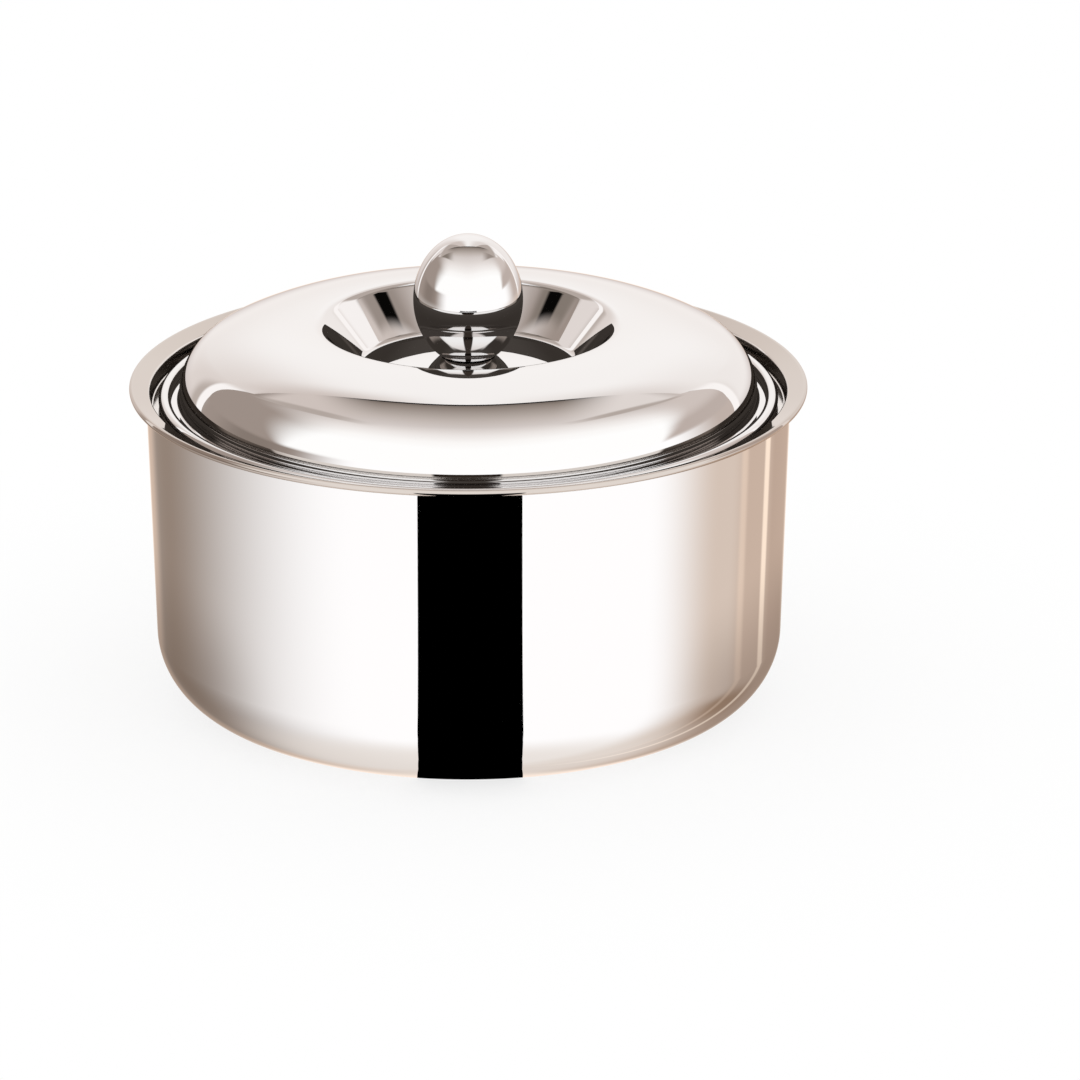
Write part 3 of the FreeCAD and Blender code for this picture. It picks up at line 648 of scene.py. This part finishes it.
def light_over(tree, mask, colour, strength, under):
    """Ends a material: light of that colour where the mask is full, and the shader under it elsewhere."""
    light = add(tree, "ShaderNodeEmission", None, {"Color": colour, "Strength": strength})
    mixed = add(tree, "ShaderNodeMixShader", None,
                {0: mask, 1: under.outputs[0], 2: light.outputs[0]})
    tree.links.new(mixed.outputs[0], tree.nodes["Material Output"].inputs[0])


def new_card(name):
    """An empty material for a card, its node tree and a clear shader, seen where the card isn't."""
    finish, tree, shader = new_finish(name)
    tree.nodes.remove(shader)
    return finish, tree, add(tree, "ShaderNodeBsdfTransparent")


def make_ceiling():
    """Sheet over the pot; its rear edge runs in a flat curve, and it gets lighter towards the front."""
    card = add_disc("ceiling_sheet", CEILING_RADIUS, CEILING_HEIGHT, 64)
    finish, tree, clear = new_card("ceiling_sheet")
    place = add(tree, "ShaderNodeTexCoord").outputs["Object"]
    across, back, _ = add(tree, "ShaderNodeSeparateXYZ", None, {0: place}).outputs
    sheet = Paint(tree, "#ffffff")
    # Its rear edge is a hyperbola, as where a level sheet cuts a cone
    edge = sheet.math("SQRT", sheet.math("MULTIPLY_ADD", sheet.math("POWER", across, 2), 0.45, 0.0015))
    ahead = sheet.math("MULTIPLY", sheet.math("SUBTRACT", edge, back), 0.9)
    sheet.colour = sheet.ramp(
        sheet.math("DIVIDE", ahead, 0.24),
        (0.0, "#605650"), (0.05, "#8a7f77"), (0.09, "#998e87"), (0.15, "#aca29b"), (0.21, "#beb4ae"),
        (0.29, "#d0c8c4"), (0.4, "#dcd5d1"), (0.54, "#eae5e2"), (0.75, "#f8f6f4"), (1.0, "#fdfdfc"))
    # Both sides stay grey further forward, and the rear edge is dark in the middle
    width = sheet.math("ABSOLUTE", across)
    beside = sheet.math("MULTIPLY_ADD", width, 0.25, back)
    left = sheet.math("MULTIPLY", across, -1)
    sheet.lay(sheet.both(sheet.step(beside, -0.08, 0.08), sheet.step(left, 0.10, 0.22)), "#9b8e86")
    sheet.lay(sheet.both(sheet.step(beside, 0.03, 0.15), sheet.step(across, 0.10, 0.2)), "#cbc0ba")
    sheet.lay(sheet.both(sheet.step(beside, 0.03, 0.15), sheet.step(across, 0.28, 0.46)), "#b9aca5")
    sheet.lay(sheet.both(sheet.step(ahead, 0.0035, 0.0045, 1, 0), sheet.step(width, 0.12, 0.08)), "#141212")
    # It ends at its rear edge and fades out far from the pot
    out = sheet.measure("LENGTH", sheet.vector("MULTIPLY", place, (1, 1, 0)))
    here = sheet.both(sheet.step(ahead, -0.0003, 0.0003), sheet.step(out, 0.75, 1.3, 1, 0))
    # An opening on each side, through which the funnel mirrors the dark doorways
    inward = sheet.math("MULTIPLY_ADD", back, -0.72, width)
    opening = sheet.both(sheet.step(width, 0.06, 0.12), sheet.step(inward, 0.122, 0.110),
                         sheet.step(back, -0.06, 0.01), sheet.step(back, 0.13, 0.09))
    # A second mirroring shows only its front, on both sides of the gap between the lights
    front = sheet.both(sheet.step(back, -0.07, -0.09),
                       sheet.step(sheet.math("MULTIPLY_ADD", back, 0.22, width), -0.005, 0.005))
    unlit = sheet.both(sheet.mirrored_again(), sheet.math("SUBTRACT", 1, front))
    shown = sheet.math("SUBTRACT", 1, sheet.math("MAXIMUM", opening, unlit))
    light_over(tree, sheet.both(here, shown), sheet.colour, 1 / STEEL_LIGHT, clear)
    card.data.materials.append(finish)
    only_mirrored(card)


def make_gap_card():
    """Black card on the table in front of the pot, between the two lights, wider further forward."""
    outline = [Vector((x, -y, 0)) * MM for y, x in GAP_EDGE]
    outline += [Vector((-x, -y, 0)) * MM for y, x in reversed(GAP_EDGE)]
    bpy.ops.object.select_all(action="DESELECT")
    bpy.ops.mesh.primitive_plane_add(size=MM)
    card = bpy.context.object
    card.name = "gap_card"
    bpy.ops.object.mode_set(mode="EDIT")
    bpy.ops.mesh.merge(type="CENTER")
    bpy.ops.transform.translate(value=outline[0])
    for start, end in zip(outline, outline[1:]):
        bpy.ops.mesh.extrude_region_move(TRANSFORM_OT_translate={"value": end - start})
    bpy.ops.mesh.select_all(action="SELECT")
    bpy.ops.mesh.edge_face_add()
    bpy.ops.object.mode_set(mode="OBJECT")
    card.rotation_euler.z = math.radians(GAP_TURN)
    card.location.x = GAP_SHIFT
    bpy.ops.object.transform_apply()
    finish, _, shader = new_finish("black_card")
    shader.inputs["Base Color"].default_value = rgb("#000000")
    shader.inputs["Specular IOR Level"].default_value = 0
    card.data.materials.append(finish)
    only_mirrored(card)


def make_table_shade():
    """Card painted with the pot's shade on the table at its two sides; it shows only in the steel."""
    card = add_disc("table_shade", SHADE_RADIUS, SHADE_HEIGHT)
    finish, tree, clear = new_card("table_shade")
    place = add(tree, "ShaderNodeTexCoord").outputs["Object"]
    across, back, _ = add(tree, "ShaderNodeSeparateXYZ", None, {0: place}).outputs
    shade = Paint(tree, "#6b5a4e")
    out = shade.measure("LENGTH", place)
    beside = shade.math("DIVIDE", shade.math("ABSOLUTE", across), out)
    depth = shade.both(shade.step(out, 0.24, 0.12, 0, 0.5), shade.step(beside, 0.5, 0.9),
                       shade.step(back, -0.12, -0.03))
    light_over(tree, depth, shade.colour, 1, clear)
    card.data.materials.append(finish)
    only_mirrored(card)


def make_floor():
    """Pale table top; it keeps the pot's shadow and fades into the backdrop."""
    floor = add_disc("table_top", FLOOR_RADIUS)
    finish, tree, shader = new_finish("white_table_top")
    shader.inputs["Base Color"].default_value = rgb("#fafafa")
    shader.inputs["Roughness"].default_value = 1
    shader.inputs["Specular IOR Level"].default_value = 0
    place = add(tree, "ShaderNodeTexCoord").outputs["Object"]
    out = add(tree, "ShaderNodeVectorMath", {"operation": "LENGTH"}, {0: place}).outputs["Value"]
    fade = add(tree, "ShaderNodeMapRange", {"interpolation_type": "SMOOTHSTEP"},
               {0: out, 1: 0.1, 2: 0.3, 3: 0.8, 4: 1}).outputs[0]
    light_over(tree, fade, rgb("#ffffff"), 1, shader)
    floor.data.materials.append(finish)
    floor.visible_glossy = False


def make_camera():
    """Long lens from three metres away, looking a little down on the pot."""
    elevation = math.radians(CAMERA_ELEVATION)
    away = Vector((0, -math.cos(elevation), math.sin(elevation)))
    bpy.ops.object.camera_add(location=CAMERA_TARGET + CAMERA_DISTANCE * away)
    camera = bpy.context.object
    camera.rotation_euler = away.to_track_quat("Z", "Y").to_euler()
    camera.data.lens = CAMERA_LENS
    camera.data.sensor_width = CAMERA_SENSOR
    camera.data.clip_end = CAMERA_CLIP
    bpy.context.scene.camera = camera


bowl_piece = spin_inner_bowl()
outer_pieces = [spin_outer_shell(), spin_lid_shell(), spin_lid_liner(), shape_knob()]
steel = mirror_steel("buffed_stainless_steel", "#edecec", roughness=0.018)
for outer_piece in outer_pieces:
    outer_piece.data.materials.append(steel)
# The rim and flange take a darker, warmer copy of the outer steel, as painted shade for their darker mirror
# image; inside the polish edge the bowl is satin
shaded_bowl_steel = mirror_steel("bowl_steel_painted_shade", "#cfc6bf", roughness=0.03)
bowl_piece.data.materials.append(
    satin_inside(shaded_bowl_steel, radius=NECK_RADIUS + POLISH_EDGE, roughness=0.13, code="#e6e2df"))
dress("base_cover", steel)
fastener_steel, plug_plastic, foam = turned_steel(), moulded_plug(), poured_foam()
for node_name in ("knob_insert", "knob_screw", "knob_washer", "knob_spring_washer"):
    dress(node_name, fastener_steel)
for node_name in ("base_filler_plug", "lid_filler_plug"):
    dress(node_name, plug_plastic)
for node_name in ("body_insulation", "lid_insulation"):
    dress(node_name, foam)
make_studio()
make_ceiling()
make_gap_card()
make_table_shade()
make_floor()
make_camera()
bpy.context.scene.view_settings.view_transform = "Standard"
